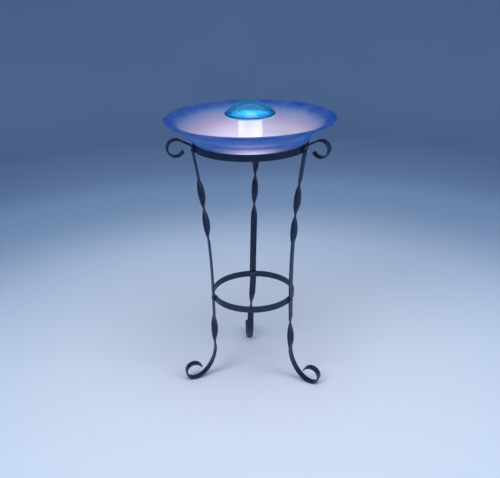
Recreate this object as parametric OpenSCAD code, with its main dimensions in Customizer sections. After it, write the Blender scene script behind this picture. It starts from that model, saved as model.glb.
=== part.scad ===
/* [Bowl] */
// Diameter of the glass bowl over its rim
bowl_d = 406; // [340:1:480]
// Height of the rim's top above the floor
rim_z = 683; // [600:1:800]
// Depth from the rim's top to the basin floor
bowl_depth = 74; // [50:1:90]
// Thickness of the glass
glass_t = 6; // [4:0.5:8]
// Width of the sloping rim band
band_w = 24; // [15:1:35]
// Slope of the rim band
band_slope = 17; // [5:1:25]
// Height of each moulded step on the outside of the bowl
step_h = 1.4; // [0.5:0.1:2]

/* [Stand] */
// Outer diameter of the ring that carries the bowl
top_ring_d = 278; // [230:1:300]
// Outer diameter of the lower tie ring
low_ring_d = 210; // [160:1:240]
// Drop from the bowl's rim to the upper ring's underside
ring_drop = 71; // [60:1:90]
// Height of the lower ring's underside
low_ring_z = 220; // [150:1:320]
// Height of the ring bar
ring_h = 16; // [12:1:25]
// Thickness of the ring bar
ring_t = 4; // [3:0.5:6]
// Width of the leg bar
leg_w = 17; // [12:1:25]
// Thickness of the leg bar
leg_t = 4; // [3:0.5:6]
// Compass bearing of the rear leg, seen from above
rear_bearing = 90; // [80:1:100]
// Compass bearing of the left leg
left_bearing = 198; // [190:1:215]
// Compass bearing of the right leg
right_bearing = 331; // [325:1:350]
// Degrees that the rear leg leans back round the stand at the upper ring
rear_top_turn = 7; // [0:0.5:10]
// Degrees that the rear foot is sprung the other way
rear_foot_turn = 5; // [0:0.5:8]

/* [Twists and scrolls] */
// Plain bar between the upper ring and the full twist
twist_drop = 68; // [30:1:90]
// Length of the full twist
twist_length = 158; // [100:1:200]
// Top of the half twist
half_top = 175; // [150:1:200]
// Bottom of the half twist
half_end = 91; // [88:1:120]
// Radius of the foot's scroll, along the bar's middle
foot_scroll_r = 21.5; // [15:0.5:30]
// Reach of the foot's contact with the floor
foot_r = 166.5; // [140:0.5:180]
// Radius of the top scroll, along the bar's middle
top_scroll_r = 19.8; // [12:0.2:20]

/* [Fasteners] */
// Shank diameter of the leg bolts
bolt_d = 4; // [3:0.5:5]
// Clearance round a bolt's shank
bolt_gap = 0.2; // [0.1:0.05:0.4]
// Height of the bolt above a ring's underside
bolt_rise = 4; // [4:0.2:5]

/* [Lamp] */
// Outer diameter of the frosted column
column_d = 56; // [44:1:70]
// Wall of the frosted column
column_t = 3; // [2:0.5:5]
// Outer diameter of the hollow stem through the bowl
stem_d = 16; // [12:1:20]
// Bore of the hollow stem
stem_bore = 8; // [6:0.5:9]
// Diameter of the cable that the gland grips
cable_d = 6.5; // [5:0.5:7]
// Diameter of the lamp capsule
capsule_d = 12; // [9:0.5:14]
// Length of the capsule's glass
capsule_h = 36; // [30:1:38]

/* [Dome] */
// Diameter of the glass dome over its brim
dome_d = 120; // [90:1:150]
// Height of the dome above its brim
dome_h = 29.5; // [20:1:45]
// Height of the brim above the bowl's rim
brim_rise = 6.5; // [2:1:20]
// Thickness of the dome's glass
dome_t = 4; // [3:0.5:6]

/* [Hidden] */
$fn = 96;

LEGS = [rear_bearing, left_bearing, right_bearing];
TOP_TURNS = [-rear_top_turn, 0, 0];
FOOT_TURNS = [rear_foot_turn, 0, 0];
// Gap between pieces that are lifted apart, and along a thread
seat_gap = 0.3;
thread_gap = 0.05;
// Longest step along a bent bar, and widest turn in one step
bar_step = 6;
bar_turn = 10;
// Corner chamfer of the bars
bar_edge = 0.9;

bowl_r = bowl_d / 2;
top_ring_r = top_ring_d / 2;
low_ring_r = low_ring_d / 2;
top_ring_z = rim_z - ring_drop;
twist_top = top_ring_z - twist_drop;
twist_end = twist_top - twist_length;
floor_z = rim_z - bowl_depth;
under_z = floor_z - glass_t;

// Inner wall: from the band's inner edge straight down to the basin floor
band_in_r = bowl_r - band_w;
band_drop = band_w * tan(band_slope);
band_in_z = rim_z - band_drop;
// The outer wall rests on the top ring's inner edge
seat_r = top_ring_r - ring_t + bar_edge/2;
seat_z = top_ring_z + ring_h + seat_gap;
shoulder = [band_in_r - 2, band_in_z - glass_t - 1];
wall_slope = atan((shoulder.y - seat_z) / (shoulder.x - seat_r));

// ---- Bent bars -------------------------------------------------------------

// Points after the start of an arc, from angle a to angle b about c
function arc(c, r, a, b) =
    let (n = ceil(max(abs(b - a) / bar_turn, abs(b - a) * PI / 180 * r / bar_step)))
    [for (i = [1:n]) let (t = a + (b - a) * i / n) c + r * [cos(t), sin(t)]];

// Points after the start of a straight
function line(p, q) =
    let (n = ceil(norm(q - p) / bar_step))
    [for (i = [1:n]) p + (q - p) * i / n];

// Points after the start of a cubic curve
function curve(p, a, b, q) =
    let (n = ceil((norm(a - p) + norm(b - a) + norm(q - b)) / bar_step))
    [for (i = [1:n]) let (t = i / n, s = 1 - t)
        s * s * s * p + 3 * s * s * t * a + 3 * s * t * t * b + t * t * t * q];

function unit(v) = v / norm(v);
function share(x, low, high) = max(0, min(1, (x - low) / (high - low)));

// The bar turns once round in the full twist and half round in the lower one
function twist_at(z) =
    360 * (1 - share(z, twist_end, twist_top)) + 180 * (1 - share(z, half_end, half_top));

// Upright run left beside each ring, where a leg doesn't lean
ring_run = 10;

// Degrees round the stand that a leg has moved at height z
function lean_at(z, foot, top) =
    foot * (1 - share(z, sweep_top, low_ring_z - ring_run))
    + top * share(z, low_ring_z + ring_h + ring_run, top_ring_z - ring_run);

// Turns a point about the stand's axis
function turn(p, a) = [p.x * cos(a) - p.y * sin(a), p.x * sin(a) + p.y * cos(a), p.z];

// A twisted bar of width w and thickness t, along points in an upright plane through the axis
module bent_bar(path, w, t, foot, top) {
    last = len(path) - 1;
    e = bar_edge;
    section = [[w/2, t/2 - e], [w/2 - e, t/2], [e - w/2, t/2], [-w/2, t/2 - e],
        [-w/2, e - t/2], [e - w/2, -t/2], [w/2 - e, -t/2], [w/2, e - t/2]];
    k = len(section);
    points = [for (i = [0:last])
        let (
            d = unit(path[min(i + 1, last)] - path[max(i - 1, 0)]),
            along = [d.x, 0, d.y],
            wide = [0, 1, 0],
            deep = cross(wide, along),
            a = twist_at(path[i].y)
        )
        for (s = section)
            turn([path[i].x, 0, path[i].y]
                + s.x * (cos(a) * wide - sin(a) * deep)
                + s.y * (cos(a) * deep + sin(a) * wide),
                lean_at(path[i].y, foot, top))];
    faces = concat(
        [[for (j = [0:k - 1]) j]],
        [for (i = [0:last - 1], j = [0:k - 1]) let (m = (j + 1) % k)
            each [[i*k + j, (i + 1)*k + j, (i + 1)*k + m], [i*k + j, (i + 1)*k + m, i*k + m]]],
        [[for (j = [k - 1:-1:0]) last*k + j]]);
    polyhedron(points, faces, convexity = 10);
}

// Centre line of a leg in its own upright plane: distance from the axis, and height
bar_gap = 0.05;
leg_low_r = low_ring_r + leg_t/2 + bar_gap;
leg_top_r = top_ring_r + leg_t/2 + bar_gap;
foot_c = [foot_r, foot_scroll_r + leg_t/2];
// Directions in which the two scrolls end
foot_tip = 157;
scroll_tip = -155;
// Height where the foot's sweep ends and the bar stands upright
sweep_top = 88;
// How far each end of a curve runs on in its own direction
foot_pull = 27;
sweep_pull = 44;
lean_pull = 185;
ring_pull = [5, 30];
// Straight bar kept past a ring, so that the bolt's head bears on a flat
flat_over = 5;
lean_low = low_ring_z + ring_h + flat_over;
bend_z = top_ring_z + bolt_rise + 3;
bend_r = 12;
// The bar rises from the upper ring at a flatter angle than the bowl's wall above it
rise_flatter = 16.2;
bend_turn = 90 - wall_slope + rise_flatter;
bend_c = [leg_top_r + bend_r, bend_z];
bend_end = bend_c + bend_r * [-cos(bend_turn), sin(bend_turn)];
rise_length = 28;
rise_end = bend_end + rise_length * [sin(bend_turn), cos(bend_turn)];
scroll_c = rise_end + top_scroll_r * [cos(bend_turn), -sin(bend_turn)];
foot_low = [foot_r, leg_t/2];
stem_low = [leg_low_r, sweep_top];
stem_lean = [leg_low_r, lean_low];
stem_high = [leg_top_r, top_ring_z - 2];
leg_path = concat(
    [foot_c + foot_scroll_r * [cos(foot_tip), sin(foot_tip)]],
    arc(foot_c, foot_scroll_r, foot_tip, -90),
    curve(foot_low, foot_low - [foot_pull, 0], stem_low - [0, sweep_pull], stem_low),
    line(stem_low, stem_lean),
    curve(stem_lean, stem_lean + [0, lean_pull], stem_high - ring_pull, stem_high),
    line(stem_high, [leg_top_r, bend_z]),
    arc(bend_c, bend_r, 180, 180 - bend_turn),
    line(bend_end, rise_end),
    arc(scroll_c, top_scroll_r, 180 - bend_turn, scroll_tip));

bolt_z = [low_ring_z + ring_h/2, top_ring_z + bolt_rise];
bolt_ring_r = [low_ring_r, top_ring_r];

// Children placed at each bolt, with +Z pointing out of the stand at the leg's outer face
module at_bolts(legs = [0:len(LEGS) - 1]) {
    for (k = legs, i = [0, 1])
        rotate([0, 0, LEGS[k] + i * TOP_TURNS[k]])
            translate([bolt_ring_r[i] + leg_t + 2 * bar_gap, 0, bolt_z[i]])
                rotate([0, 90, 0]) children();
}

module ring_bar(r, z) {
    difference() {
        translate([0, 0, z]) rotate_extrude()
            translate([r - ring_t, 0]) offset_bar();
        at_bolts() translate([0, 0, -3 * ring_t])
            cylinder(h = 4 * ring_t, d = bolt_d + 2 * bolt_gap, $fn = 32);
    }
}

// Section of a ring bar, with its corners broken
module offset_bar() {
    e = bar_edge / 2;
    polygon([[e, 0], [ring_t - e, 0], [ring_t, e], [ring_t, ring_h - e],
        [ring_t - e, ring_h], [e, ring_h], [0, ring_h - e], [0, e]]);
}

module top_ring() {
    color([0.13, 0.15, 0.20]) ring_bar(top_ring_r, top_ring_z);
}

module lower_ring() {
    color([0.13, 0.15, 0.20]) ring_bar(low_ring_r, low_ring_z);
}

module leg(i) {
    color([0.12, 0.14, 0.19])
    difference() {
        rotate([0, 0, LEGS[i]]) bent_bar(leg_path, leg_w, leg_t, FOOT_TURNS[i], TOP_TURNS[i]);
        at_bolts([i]) translate([0, 0, -2 * leg_t])
            cylinder(h = 3 * leg_t, d = bolt_d + 2 * bolt_gap, $fn = 32);
    }
}

// ---- Leg bolts -------------------------------------------------------------

bolt_head_d = 1.8 * bolt_d;
bolt_head_h = 0.55 * bolt_d;
washer_t = 0.8;
nut_h = 0.8 * bolt_d;
nut_af = 1.75 * bolt_d;
nut_in_r = low_ring_r - ring_t;
washer_r = 1.125 * bolt_d;
// A flat washer stands this far off the middle of the hollow side of a ring
washer_stand = nut_in_r - sqrt(nut_in_r * nut_in_r - washer_r * washer_r) + bar_gap;
grip = leg_t + ring_t + 2 * bar_gap + washer_stand;
bolt_tail = 1.2;

module leg_bolts() {
    color([0.16, 0.18, 0.23]) at_bolts() difference() {
        union() {
            rotate_extrude() polygon([[0, 0], [bolt_head_d/2, 0],
                [bolt_head_d/2, bolt_head_h * 0.35], [bolt_head_d * 0.42, bolt_head_h * 0.72],
                [bolt_head_d * 0.3, bolt_head_h], [0, bolt_head_h]]);
            translate([0, 0, -grip - washer_t - nut_h - bolt_tail])
                cylinder(h = grip + washer_t + nut_h + bolt_tail + 0.1, d = bolt_d, $fn = 32);
        }
        translate([0, 0, bolt_head_h * 0.35]) cylinder(h = bolt_head_h, d = 0.65 * bolt_d, $fn = 6);
    }
}

module leg_washers() {
    color([0.55, 0.56, 0.58]) at_bolts() translate([0, 0, -grip - washer_t]) difference() {
        cylinder(h = washer_t, r = washer_r);
        translate([0, 0, -1]) cylinder(h = washer_t + 2, d = bolt_d + 2 * bolt_gap, $fn = 32);
    }
}

module leg_nuts() {
    color([0.50, 0.51, 0.54]) at_bolts() translate([0, 0, -grip - washer_t - nut_h]) difference() {
        cylinder(h = nut_h, d = nut_af / cos(30), $fn = 6);
        translate([0, 0, -1]) cylinder(h = nut_h + 2, d = bolt_d + 2 * thread_gap, $fn = 32);
    }
}

// ---- Bowl ------------------------------------------------------------------

wall_lift = glass_t / cos(wall_slope);
basin_r = seat_r - (seat_z + wall_lift - floor_z) / tan(wall_slope);
foot_of_wall = seat_r - (seat_z - under_z) / tan(wall_slope);
bowl_hole_r = stem_d/2 + 0.5;
lip_r = glass_t / 2;

// A point up the outer wall, at distance r from the axis, standing h proud of it
function wall_at(r, h = 0) =
    [r + h * sin(wall_slope), seat_z + (r - seat_r) * tan(wall_slope) - h * cos(wall_slope)];

// Two moulded steps run round the outside between the ring and the band
step_a = seat_r + 0.36 * (shoulder.x - seat_r);
step_b = seat_r + 0.76 * (shoulder.x - seat_r);
step_riser = 1.5;
step_w = 4.5;
// How far the basin's corner is blended into its floor and its wall
basin_blend = 14;

// Outline of a step: a riser, a flat and a run of length out back to the wall
function moulded_step(r, out) = [wall_at(r), wall_at(r + step_riser, step_h),
    wall_at(r + step_riser + step_w, step_h), wall_at(r + step_riser + step_w + out)];

bowl_outline = concat(
    [[bowl_hole_r, under_z], [foot_of_wall - 6, under_z], [foot_of_wall, under_z + 2],
        wall_at(seat_r + 1)],
    moulded_step(step_a, 3), moulded_step(step_b, 2),
    [[shoulder.x, shoulder.y], [shoulder.x + 4, shoulder.y + 0.6],
        [bowl_r - 3, rim_z - glass_t - 0.6]],
    [for (a = [-50:20:130]) [bowl_r - lip_r, rim_z - lip_r] + lip_r * [cos(a), sin(a)]],
    [[band_in_r + 2, band_in_z + 0.4], [band_in_r - 1.5, band_in_z - 1.4]],
    [for (t = [0:0.2:1]) let (s = 1 - t, k = basin_blend)
        s*s * [basin_r + k * cos(wall_slope), floor_z + k * sin(wall_slope)]
        + 2*s*t * [basin_r, floor_z] + t*t * [basin_r - k, floor_z]],
    [[bowl_hole_r, floor_z]]);

module glass_bowl() {
    color([0.22, 0.38, 0.78, 0.85]) rotate_extrude($fn = 180) polygon(bowl_outline);
}

// ---- Lamp in the bowl --------------------------------------------------------

gasket_t = 2;
stem_play = 0.3;
flange_r = column_d/2 + 6;
flange_t = 4;
flange_z = floor_z + gasket_t;
cup_floor_z = flange_z + flange_t;
column_in_r = column_d/2 - column_t;
cup_r = column_in_r - 0.4;
cup_t = 3.6;
cup_h = 13;
cup_top_z = cup_floor_z + cup_h;
head_h = 3;
head_r = stem_d/2 + 2;
plate_t = 3;
seal_t = 1.5;
brim_z = rim_z + brim_rise;
plate_z = brim_z - seal_t - plate_t;

module tube(z, h, r, bore) {
    translate([0, 0, z]) difference() {
        cylinder(h = h, r = r);
        translate([0, 0, -1]) cylinder(h = h + 2, r = bore);
    }
}

module upper_gasket() {
    color([0.16, 0.16, 0.17]) tube(floor_z, gasket_t, flange_r - 3, stem_d/2 + stem_play);
}

module lower_gasket() {
    color([0.16, 0.16, 0.17]) tube(under_z - gasket_t, gasket_t, stem_d/2 + 8, stem_d/2 + stem_play);
}

stem_washer_t = 1.5;
washer_z = under_z - gasket_t - stem_washer_t;
stem_nut_h = 7;
stem_nut_z = washer_z - stem_nut_h;
stem_end_z = stem_nut_z - 6;

module stem_washer() {
    color([0.75, 0.76, 0.78]) tube(washer_z, stem_washer_t, stem_d/2 + 7, stem_d/2 + stem_play);
}

module stem_nut() {
    color([0.78, 0.66, 0.38]) translate([0, 0, stem_nut_z]) difference() {
        cylinder(h = stem_nut_h, r = (stem_d/2 + 4) / cos(30), $fn = 6);
        translate([0, 0, -1]) cylinder(h = stem_nut_h + 2, r = stem_d/2 + thread_gap);
    }
}

module lamp_stem() {
    color([0.80, 0.68, 0.40]) difference() {
        union() {
            translate([0, 0, stem_end_z]) cylinder(h = cup_floor_z - stem_end_z + 1, r = stem_d/2);
            translate([0, 0, cup_floor_z]) cylinder(h = head_h, r = head_r / cos(30), $fn = 6);
        }
        translate([0, 0, stem_end_z - 1])
            cylinder(h = cup_floor_z - stem_end_z + head_h + 2, r = stem_bore/2);
    }
}

// Groove for the column's seal ring, round the outside of the cup
seal_r = 1.1;
seal_at_z = cup_floor_z + 5;
groove_r = column_in_r - 2 * seal_r - 0.05;
block_h = 7;
block_x = head_r / cos(30) + 0.6;
block_w = 6.4;
block_l = 13;
screw_d = 2;

module lamp_base() {
    color([0.86, 0.87, 0.88]) difference() {
        union() {
            tube(flange_z, flange_t, flange_r, stem_d/2 + stem_play);
            tube(cup_floor_z - 1, cup_h + 1, cup_r, cup_r - cup_t);
            translate([block_x, -block_l/2, cup_floor_z - 1]) cube([block_w, block_l, head_h + 1]);
        }
        tube(seal_at_z - seal_r - 0.05, 2 * seal_r + 0.1, cup_r + 1, groove_r);
        at_cup_screws() translate([0, 0, -6]) cylinder(h = 7, r = screw_d/2 + thread_gap, $fn = 24);
        translate([block_x + block_w/2, 0, cup_floor_z]) cylinder(h = head_h + 1,
            r = screw_d/2 + thread_gap, $fn = 24);
    }
}

module at_cup_screws() {
    for (a = [30, 150, 270])
        rotate([0, 0, a]) translate([cup_r - cup_t/2, 0, cup_top_z]) children();
}

module pan_screw(shank) {
    translate([0, 0, -shank]) cylinder(h = shank + 0.1, d = screw_d, $fn = 24);
    difference() {
        cylinder(h = 1.3, d = 1.7 * screw_d, $fn = 32);
        translate([-screw_d, -0.2, 0.8]) cube([2 * screw_d, 0.4, 1]);
    }
}

module terminal_block() {
    color([0.93, 0.93, 0.90]) translate([block_x, -block_l/2, cup_floor_z + head_h]) difference() {
        cube([block_w, block_l, block_h]);
        for (s = [-1, 1]) translate([block_w/2, block_l/2 + s * 3.8, -1]) {
            translate([0, 0, block_h - 2]) cylinder(h = 4, r = 1.3, $fn = 24);
        }
        for (s = [-1, 1]) translate([-1, block_l/2 + s * 3.8, 2.6]) rotate([0, 90, 0])
            cylinder(h = block_w + 2, r = 1.2, $fn = 24);
        translate([block_w/2, block_l/2, -1]) cylinder(h = block_h + 2, r = screw_d/2 + 0.1, $fn = 24);
        translate([block_w/2, block_l/2, block_h - 2]) cylinder(h = 3, r = screw_d, $fn = 24);
    }
}

module terminal_screw() {
    color([0.70, 0.71, 0.73])
        translate([block_x + block_w/2, 0, cup_floor_z + head_h + block_h - 2])
            pan_screw(block_h - 2 + head_h - 1);
}

reflector_t = 1;
holder_z = cup_top_z + reflector_t;
holder_h = 8;
holder_r = 9;
ear_x = 12;
capsule_z = holder_z + holder_h;

module reflector() {
    color([0.90, 0.91, 0.93]) difference() {
        tube(cup_top_z, reflector_t, cup_r - 0.1, 4);
        at_cup_screws() translate([0, 0, -1]) cylinder(h = 3, r = screw_d/2 + 0.15, $fn = 24);
        at_ears() translate([0, 0, -3]) cylinder(h = 6, r = screw_d/2 + 0.15, $fn = 24);
    }
}

module reflector_screws() {
    color([0.70, 0.71, 0.73]) at_cup_screws() translate([0, 0, reflector_t]) pan_screw(5);
}

module at_ears() {
    for (s = [-1, 1]) translate([0, s * ear_x, holder_z]) children();
}

module lamp_holder() {
    color([0.95, 0.94, 0.90]) difference() {
        union() {
            translate([0, 0, holder_z]) cylinder(h = holder_h, r = holder_r);
            at_ears() cylinder(h = 3, r = 3.2, $fn = 32);
            translate([-3.2, -ear_x, holder_z]) cube([6.4, 2 * ear_x, 3]);
        }
        at_ears() translate([0, 0, -1]) cylinder(h = 5, r = screw_d/2 + 0.15, $fn = 24);
        for (s = [-1, 1]) translate([s * pin_x, 0, holder_z - 1])
            cylinder(h = holder_h + 2, r = pin_r + 0.15, $fn = 24);
    }
}

module holder_screws() {
    color([0.70, 0.71, 0.73]) at_ears() translate([0, 0, 3]) pan_screw(3 + reflector_t + 2.6);
}

module holder_nuts() {
    color([0.66, 0.67, 0.70]) at_ears() translate([0, 0, -reflector_t - 1.6]) difference() {
        cylinder(h = 1.6, d = 2 * screw_d / cos(30), $fn = 6);
        translate([0, 0, -1]) cylinder(h = 4, r = screw_d/2 + thread_gap, $fn = 24);
    }
}

pin_x = 3.2;
pin_r = 0.6;
pin_l = 6.5;

module capsule_glass() {
    r = capsule_d / 2;
    color([0.92, 0.94, 0.96, 0.4]) difference() {
        union() {
            translate([-r * 0.8, -r * 0.4, capsule_z]) cube([r * 1.6, r * 0.8, 8]);
            translate([0, 0, capsule_z]) rotate_extrude() polygon(concat(
                [[0, 7], [r * 0.5, 7], [r * 0.85, 8.5], [r, 11]],
                [for (a = [0:15:90]) [r * cos(a), capsule_h - r + r * sin(a)]]));
        }
        for (s = [-1, 1]) translate([s * pin_x, 0, capsule_z - 1])
            cylinder(h = 5, r = pin_r, $fn = 24);
    }
}

module capsule_pins() {
    color([0.80, 0.80, 0.82]) for (s = [-1, 1]) translate([s * pin_x, 0, capsule_z - pin_l])
        cylinder(h = pin_l + 4, r = pin_r, $fn = 24);
}

module column_seal() {
    color([0.16, 0.16, 0.17]) translate([0, 0, seal_at_z]) rotate_extrude()
        translate([column_in_r - seal_r - 0.02, 0]) circle(r = seal_r, $fn = 24);
}

column_top_z = plate_z - seat_gap;

module column() {
    color([0.95, 0.95, 0.98, 0.8])
        tube(cup_floor_z, column_top_z - cup_floor_z, column_d/2, column_in_r);
}

// ---- Cable gland under the bowl ------------------------------------------------

gland_r = stem_d/2 + 3;
gland_top_z = stem_nut_z - 0.2;
gland_mid_z = gland_top_z - 7;
gland_end_z = gland_mid_z - 6;
seal_h = 6;

module gland_body() {
    color([0.20, 0.21, 0.22]) difference() {
        union() {
            translate([0, 0, gland_mid_z]) cylinder(h = gland_top_z - gland_mid_z,
                r = gland_r / cos(30), $fn = 6);
            translate([0, 0, gland_end_z + 1]) cylinder(h = gland_mid_z - gland_end_z, r = gland_r - 2);
        }
        translate([0, 0, gland_mid_z + 1]) cylinder(h = 20, r = stem_d/2 + thread_gap);
        translate([0, 0, gland_end_z - 1]) cylinder(h = 20, r = gland_seal_r + 0.05);
    }
}

gland_seal_r = cable_d/2 + 2.2;

module gland_seal() {
    color([0.30, 0.30, 0.31]) tube(gland_mid_z - seal_h + 1, seal_h, gland_seal_r, cable_d/2);
}

module gland_nut() {
    color([0.20, 0.21, 0.22]) difference() {
        translate([0, 0, gland_end_z - 3]) union() {
            cylinder(h = 3 + gland_mid_z - gland_end_z - 0.3, r = gland_r / cos(30), $fn = 6);
            translate([0, 0, -1.5]) cylinder(h = 2, r = gland_r - 1);
        }
        translate([0, 0, gland_end_z]) cylinder(h = 20, r = gland_r - 2 + thread_gap);
        translate([0, 0, gland_end_z - 6]) cylinder(h = 20, r = cable_d/2 + 0.4);
    }
}

// ---- Dome ----------------------------------------------------------------------

dome_r = dome_d / 2;
spigot_h = 7;

module dome_plate() {
    color([0.93, 0.95, 0.98, 0.8]) union() {
        translate([0, 0, plate_z]) cylinder(h = plate_t, r = dome_r - 1);
        tube(plate_z - spigot_h, spigot_h + 1, column_in_r - seat_gap, column_in_r - seat_gap - 3);
    }
}

module dome_seal() {
    color([0.75, 0.85, 0.88]) tube(plate_z + plate_t, seal_t, dome_r - 0.8, dome_r - dome_t - 1);
}

// Shell between two round caps about one centre, over a short upright brim
brim_h = 2;
cap_h = dome_h - brim_h;
cap_r = (dome_r * dome_r + cap_h * cap_h) / (2 * cap_h);
cap_z = dome_h - cap_r;
cap_in_r = cap_r - dome_t;
cap_turn = asin(dome_r / cap_r);
cap_in_turn = acos(-cap_z / cap_in_r);
cap_steps = 20;

module glass_dome() {
    color([0.10, 0.55, 0.80, 0.85]) translate([0, 0, brim_z]) rotate_extrude($fn = 120)
        polygon(concat(
            [[dome_r - 0.5, 0], [dome_r, 0.5]],
            [for (i = [cap_steps:-1:0]) let (a = cap_turn * i / cap_steps)
                [cap_r * sin(a), cap_z + cap_r * cos(a)]],
            [for (i = [0:cap_steps]) let (a = cap_in_turn * i / cap_steps)
                [cap_in_r * sin(a), cap_z + cap_in_r * cos(a)]]));
}

top_ring();
lower_ring();
leg(0);  // leg_rear
leg(1);  // leg_left
leg(2);  // leg_right
leg_bolts();
leg_washers();
leg_nuts();
glass_bowl();
upper_gasket();
lower_gasket();
stem_washer();
stem_nut();
lamp_stem();
lamp_base();
terminal_block();
terminal_screw();
reflector();
reflector_screws();
lamp_holder();
holder_screws();
holder_nuts();
capsule_glass();
capsule_pins();
column_seal();
column();
gland_body();
gland_seal();
gland_nut();
dome_plate();
dome_seal();
glass_dome();
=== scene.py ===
import math

import bpy
import numpy as np
from mathutils import Matrix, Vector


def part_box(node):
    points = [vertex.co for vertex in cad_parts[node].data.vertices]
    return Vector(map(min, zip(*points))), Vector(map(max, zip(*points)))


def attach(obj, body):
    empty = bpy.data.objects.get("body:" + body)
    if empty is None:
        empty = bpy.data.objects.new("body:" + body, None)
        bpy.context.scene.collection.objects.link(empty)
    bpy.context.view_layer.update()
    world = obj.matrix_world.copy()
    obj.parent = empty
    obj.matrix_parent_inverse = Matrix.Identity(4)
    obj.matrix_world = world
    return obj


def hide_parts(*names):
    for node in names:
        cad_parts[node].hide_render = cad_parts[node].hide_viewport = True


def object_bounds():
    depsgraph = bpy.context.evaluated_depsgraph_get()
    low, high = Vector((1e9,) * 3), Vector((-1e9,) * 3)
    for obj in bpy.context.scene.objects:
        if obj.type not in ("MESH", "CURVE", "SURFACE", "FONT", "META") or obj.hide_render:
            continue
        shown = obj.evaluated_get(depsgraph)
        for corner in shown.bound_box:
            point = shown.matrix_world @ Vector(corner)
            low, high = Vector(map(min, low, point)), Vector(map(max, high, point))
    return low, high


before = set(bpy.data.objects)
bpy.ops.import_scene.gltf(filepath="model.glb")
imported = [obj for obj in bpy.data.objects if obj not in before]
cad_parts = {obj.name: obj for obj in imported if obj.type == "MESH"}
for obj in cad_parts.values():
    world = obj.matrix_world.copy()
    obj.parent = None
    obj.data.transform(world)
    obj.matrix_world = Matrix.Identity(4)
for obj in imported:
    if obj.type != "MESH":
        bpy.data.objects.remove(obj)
cadLow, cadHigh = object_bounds()
scene = bpy.context.scene
mm = 0.001
fullTurn = 2 * math.pi

# Camera, before anything else is made. Metres and degrees, from the object's upright axis
cameraSet = {
    "away": 1.600,
    "height": 1.036,
    "down": 22.52,
    "turn": 0.21,
    "tilt": -1.14,
    "lens": 49.75,
    "sensor": 36.0,
    "near": 0.05,
    "far": 30.0,
}


def makeCamera(s):
    data = bpy.data.cameras.new("studioCamera")
    data.lens = s["lens"]
    data.sensor_width = s["sensor"]
    data.clip_start, data.clip_end = s["near"], s["far"]
    camera = bpy.data.objects.new("studioCamera", data)
    scene.collection.objects.link(camera)
    # In front of the object, turned about the upright, tipped down, tilted about its sight line
    camera.matrix_world = (
        Matrix.Translation((0, -s["away"], s["height"]))
        @ Matrix.Rotation(math.radians(s["turn"]), 4, "Z")
        @ Matrix.Rotation(math.radians(90 - s["down"]), 4, "X")
        @ Matrix.Rotation(math.radians(s["tilt"]), 4, "Z")
    )
    scene.camera = camera


makeCamera(cameraSet)
print("camera set")


# Surfaces: every shape below is a grid of points worked out as whole arrays


# Quads between neighbouring rows and columns of a rows x columns grid
def gridFaces(rows, columns, closedRows, closedColumns):
    i = np.arange(rows if closedRows else rows - 1)[:, None]
    j = np.arange(columns if closedColumns else columns - 1)[None, :]
    nextI, nextJ = (i + 1) % rows, (j + 1) % columns
    corners = np.broadcast_arrays(
        i * columns + j, i * columns + nextJ, nextI * columns + nextJ, nextI * columns + j
    )
    return np.stack(corners, -1).reshape(-1, 4)


# Triangles from one tip point to a row of the grid that closes on itself
def tipFaces(tip, row, flip):
    following = np.roll(row, -1)
    order = (following, row) if flip else (row, following)
    return np.stack([np.full_like(row, tip), *order], -1)


# Enclosed volume: a sixth of the sum, over triangles, of corner a dotted with b cross c
def enclosedVolume(points, triangles):
    a, b, c = (points[triangles[:, k]] for k in range(3))
    return float(np.einsum("ij,ij->", a, np.cross(b, c))) / 6


# Mesh object from points in metres, quads and triangles; each attribute has one value a point
def makeMesh(name, points, quads, triangles=None, attributes=None, closed=True):
    triangles = np.zeros((0, 3), int) if triangles is None else triangles
    split = np.concatenate([quads[:, [0, 1, 2]], quads[:, [0, 2, 3]], triangles])
    if closed and enclosedVolume(points, split) < 0:  # faces have to point outwards
        quads, triangles = quads[:, ::-1], triangles[:, ::-1]
    sizes = np.concatenate([np.full(len(quads), 4), np.full(len(triangles), 3)])
    corners = np.concatenate([quads.ravel(), triangles.ravel()]).astype(np.int32)
    mesh = bpy.data.meshes.new(name)
    mesh.vertices.add(len(points))
    mesh.vertices.foreach_set("co", points.astype(np.float32).ravel())
    mesh.loops.add(len(corners))
    mesh.loops.foreach_set("vertex_index", corners)
    mesh.polygons.add(len(sizes))
    starts = np.concatenate([[0], np.cumsum(sizes)[:-1]]).astype(np.int32)
    mesh.polygons.foreach_set("loop_start", starts)
    mesh.update(calc_edges=True)
    mesh.polygons.foreach_set("use_smooth", np.ones(len(sizes), bool))
    for key, values in (attributes or {}).items():
        layer = mesh.attributes.new(key, "FLOAT", "POINT")
        layer.data.foreach_set("value", np.asarray(values, np.float32).ravel())
    mesh.validate()
    mesh.update()
    piece = bpy.data.objects.new(name, mesh)
    scene.collection.objects.link(piece)
    return piece


# Outline with each corner replaced by the curve (1-t)^2 start + 2t(1-t) corner + t^2 end, whose
# start and end lie at reach from the corner
def softCorners(outline, reach, steps=5):
    p = np.asarray(outline, float)
    before, after = np.roll(p, 1, 0) - p, np.roll(p, -1, 0) - p
    sideA, sideB = np.linalg.norm(before, axis=1), np.linalg.norm(after, axis=1)
    r = np.minimum(np.broadcast_to(reach, len(p)), 0.45 * np.minimum(sideA, sideB))
    start = p + before * (r / sideA)[:, None]
    end = p + after * (r / sideB)[:, None]
    t = np.linspace(0, 1, steps)[None, :, None]
    curve = (1 - t) ** 2 * start[:, None] + 2 * t * (1 - t) * p[:, None] + t**2 * end[:, None]
    return curve.reshape(-1, 2)


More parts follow.
